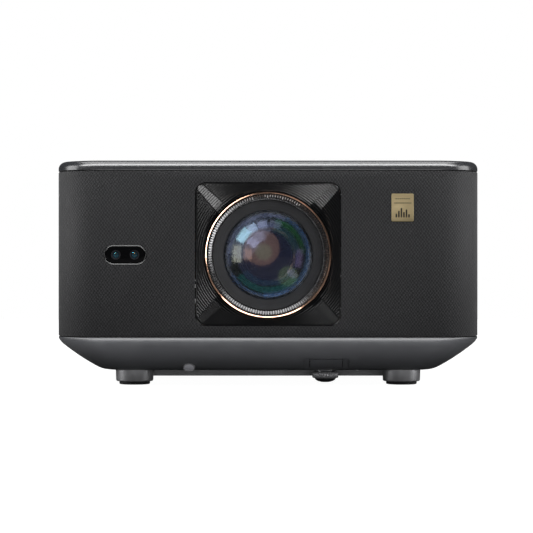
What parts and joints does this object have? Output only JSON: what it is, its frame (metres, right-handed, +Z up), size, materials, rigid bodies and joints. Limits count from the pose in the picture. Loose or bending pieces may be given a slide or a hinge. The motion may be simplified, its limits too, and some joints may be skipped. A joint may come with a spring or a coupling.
{
  "type": "home projector",
  "caption": "Compact box-shaped home projector: leatherette band between dark shells, square lens recess, sensor window, keys on the lid, elevator foot, and hinged filter door at the back.",
  "frame": {"origin": "centre of the footprint on the surface it stands on", "axes": "+X to the right seen from the front, +Y from the lens towards the back, +Z up; the lens looks along -Y"},
  "size_m": [0.2704, 0.2303, 0.145],
  "materials": {
    "lid_metal": "satin",
    "gloss_black": "gloss",
    "key_plastic": "satin",
    "ok_plastic": "satin",
    "housing_plastic": "matte",
    "leatherette": "fine diagonal grain",
    "base_paint": "satin",
    "plate_plastic": "satin",
    "rear_plastic": "fine texture",
    "copper": "polished",
    "index_black": "satin anodised",
    "coated_glass": "coated",
    "sensor_glass": "gloss",
    "sensor_parts": "satin",
    "badge_gold": "satin",
    "led_lens": "gloss",
    "foot_metal": "satin",
    "pad_rubber": "matte",
    "steel": "satin",
    "insert_brass": "machined",
    "grille_metal": "satin",
    "gear_acetal": "satin",
    "engine_casting": "cast",
    "lcd_stack": "satin",
    "led_board": "satin",
    "copper_pipe": "drawn",
    "fin_aluminium": "mill",
    "fan_plastic": "satin",
    "filter_paper": "pleated",
    "main_pcb": "solder mask",
    "power_pcb": "phenolic",
    "cone_paper": "matte",
    "socket_shell": "plated"
  },
  "bodies": {
    "chassis": {"top_cover": "lid_metal", "control_panel": "gloss_black", "mid_housing": "housing_plastic", "wrap_skin": "leatherette", "base_shell": "base_paint", "bottom_plate": "plate_plastic", "rear_panel": "rear_plastic", "lens_bezel": "gloss_black", "lens_trim_ring": "copper", "index_ring": "index_black", "lens_hood": "index_black", "front_lens": "coated_glass", "sensor_frame": "gloss_black", "sensor_window": "sensor_glass", "sensor_cameras": "sensor_parts", "badge_plate": "badge_gold", "ir_window": "sensor_glass", "status_led": "led_lens", "foot_cups": "foot_metal", "foot_pads": "pad_rubber", "case_screws": "steel", "tripod_insert": "insert_brass", "side_grilles": "grille_metal", "elevator_sleeve": "housing_plastic", "release_spring": "steel", "lens_barrel": "index_black", "focus_motor": "steel", "engine_housing": "engine_casting", "lcd_panel": "lcd_stack", "fresnel_lens": "coated_glass", "led_module": "led_board", "heat_pipes": "copper_pipe", "heat_sink": "fin_aluminium", "exhaust_fan_frame": "fan_plastic", "intake_fan_frame": "fan_plastic", "dust_filter": "filter_paper", "main_board": "main_pcb", "power_board": "power_pcb", "speaker_frames": "housing_plastic", "power_inlet": "housing_plastic", "audio_jack": "housing_plastic", "hdmi_sockets": "socket_shell", "usb_socket": "socket_shell"},
    "power_key": {"power_button": "key_plastic"},
    "ok_key": {"ok_button": "ok_plastic"},
    "nav_key": {"nav_ring": "key_plastic"},
    "volume_down_key": {"volume_down_button": "key_plastic"},
    "volume_up_key": {"volume_up_button": "key_plastic"},
    "elevator": {"elevator_leg": "steel"},
    "knob": {"elevator_knob": "foot_metal"},
    "tab": {"release_tab": "base_paint"},
    "focus_gear": {"focus_ring": "gear_acetal"},
    "pinion": {"focus_pinion": "gear_acetal"},
    "focus_carrier": {"focus_cell": "index_black", "focus_lens": "coated_glass"},
    "exhaust_rotor": {"exhaust_fan_rotor": "fan_plastic"},
    "intake_rotor": {"intake_fan_rotor": "fan_plastic"},
    "door": {"filter_door": "rear_plastic"},
    "cone_left": {"speaker_cone_left": "cone_paper"},
    "cone_right": {"speaker_cone_right": "cone_paper"}
  },
  "joints": [
    {"name": "power_press", "type": "slide", "parent": "chassis", "child": "power_key", "axis": [0, 0, -1], "range_m": [0, 0.0008], "stiffness_N_per_m": 700, "springref_m": -0.0006},
    {"name": "ok_press", "type": "slide", "parent": "chassis", "child": "ok_key", "axis": [0, 0, -1], "range_m": [0, 0.0008], "stiffness_N_per_m": 700, "springref_m": -0.0006},
    {"name": "nav_press", "type": "slide", "parent": "chassis", "child": "nav_key", "axis": [0, 0, -1], "range_m": [0, 0.0008], "stiffness_N_per_m": 700, "springref_m": -0.0006},
    {"name": "volume_down_press", "type": "slide", "parent": "chassis", "child": "volume_down_key", "axis": [0, 0, -1], "range_m": [0, 0.0008], "stiffness_N_per_m": 700, "springref_m": -0.0006},
    {"name": "volume_up_press", "type": "slide", "parent": "chassis", "child": "volume_up_key", "axis": [0, 0, -1], "range_m": [0, 0.0008], "stiffness_N_per_m": 700, "springref_m": -0.0006},
    {"name": "elevator_extend", "type": "slide", "parent": "chassis", "child": "elevator", "axis": [0, 0, -1], "range_m": [0, 0.022]},
    {"name": "knob_turn", "type": "hinge", "parent": "elevator", "child": "knob", "pos_m": [0.0373, -0.074, 0.006], "axis": [0, 0, 1], "continuous": true},
    {"name": "tab_press", "type": "slide", "parent": "chassis", "child": "tab", "axis": [0, 0.6317, 0.7752], "range_m": [0, 0.002], "stiffness_N_per_m": 600, "springref_m": -0.0006, "deforming": ["release_spring"]},
    {"name": "focus_turn", "type": "hinge", "parent": "chassis", "child": "focus_gear", "pos_m": [0, -0.0595, 0.084], "axis": [0, 1, 0], "range_deg": [-45.5, 45.5]},
    {"name": "focus_drive", "type": "hinge", "parent": "chassis", "child": "pinion", "pos_m": [-0.04244, -0.0595, 0.1085], "axis": [0, 1, 0], "range_deg": [-275, 275]},
    {"name": "focus_shift", "type": "slide", "parent": "chassis", "child": "focus_carrier", "axis": [0, 1, 0], "range_m": [-0.003, 0.003]},
    {"name": "exhaust_spin", "type": "hinge", "parent": "chassis", "child": "exhaust_rotor", "pos_m": [-0.063, 0.104, 0.088], "axis": [0, 1, 0], "continuous": true},
    {"name": "intake_spin", "type": "hinge", "parent": "chassis", "child": "intake_rotor", "pos_m": [0.05, 0.101, 0.101], "axis": [0, 1, 0], "continuous": true},
    {"name": "door_open", "type": "hinge", "parent": "chassis", "child": "door", "pos_m": [0.05, 0.113, 0.072], "axis": [-1, 0, 0], "range_deg": [0, 90]},
    {"name": "cone_left_move", "type": "slide", "parent": "chassis", "child": "cone_left", "axis": [-1, 0, 0], "range_m": [-0.002, 0.002], "stiffness_N_per_m": 900},
    {"name": "cone_right_move", "type": "slide", "parent": "chassis", "child": "cone_right", "axis": [1, 0, 0], "range_m": [-0.002, 0.002], "stiffness_N_per_m": 900}
  ],
  "couplings": [
    {"joint": "focus_turn", "follows": "focus_shift", "rad_per_m": 261.8},
    {"joint": "focus_drive", "follows": "focus_shift", "rad_per_m": -1570.8}
  ]
}
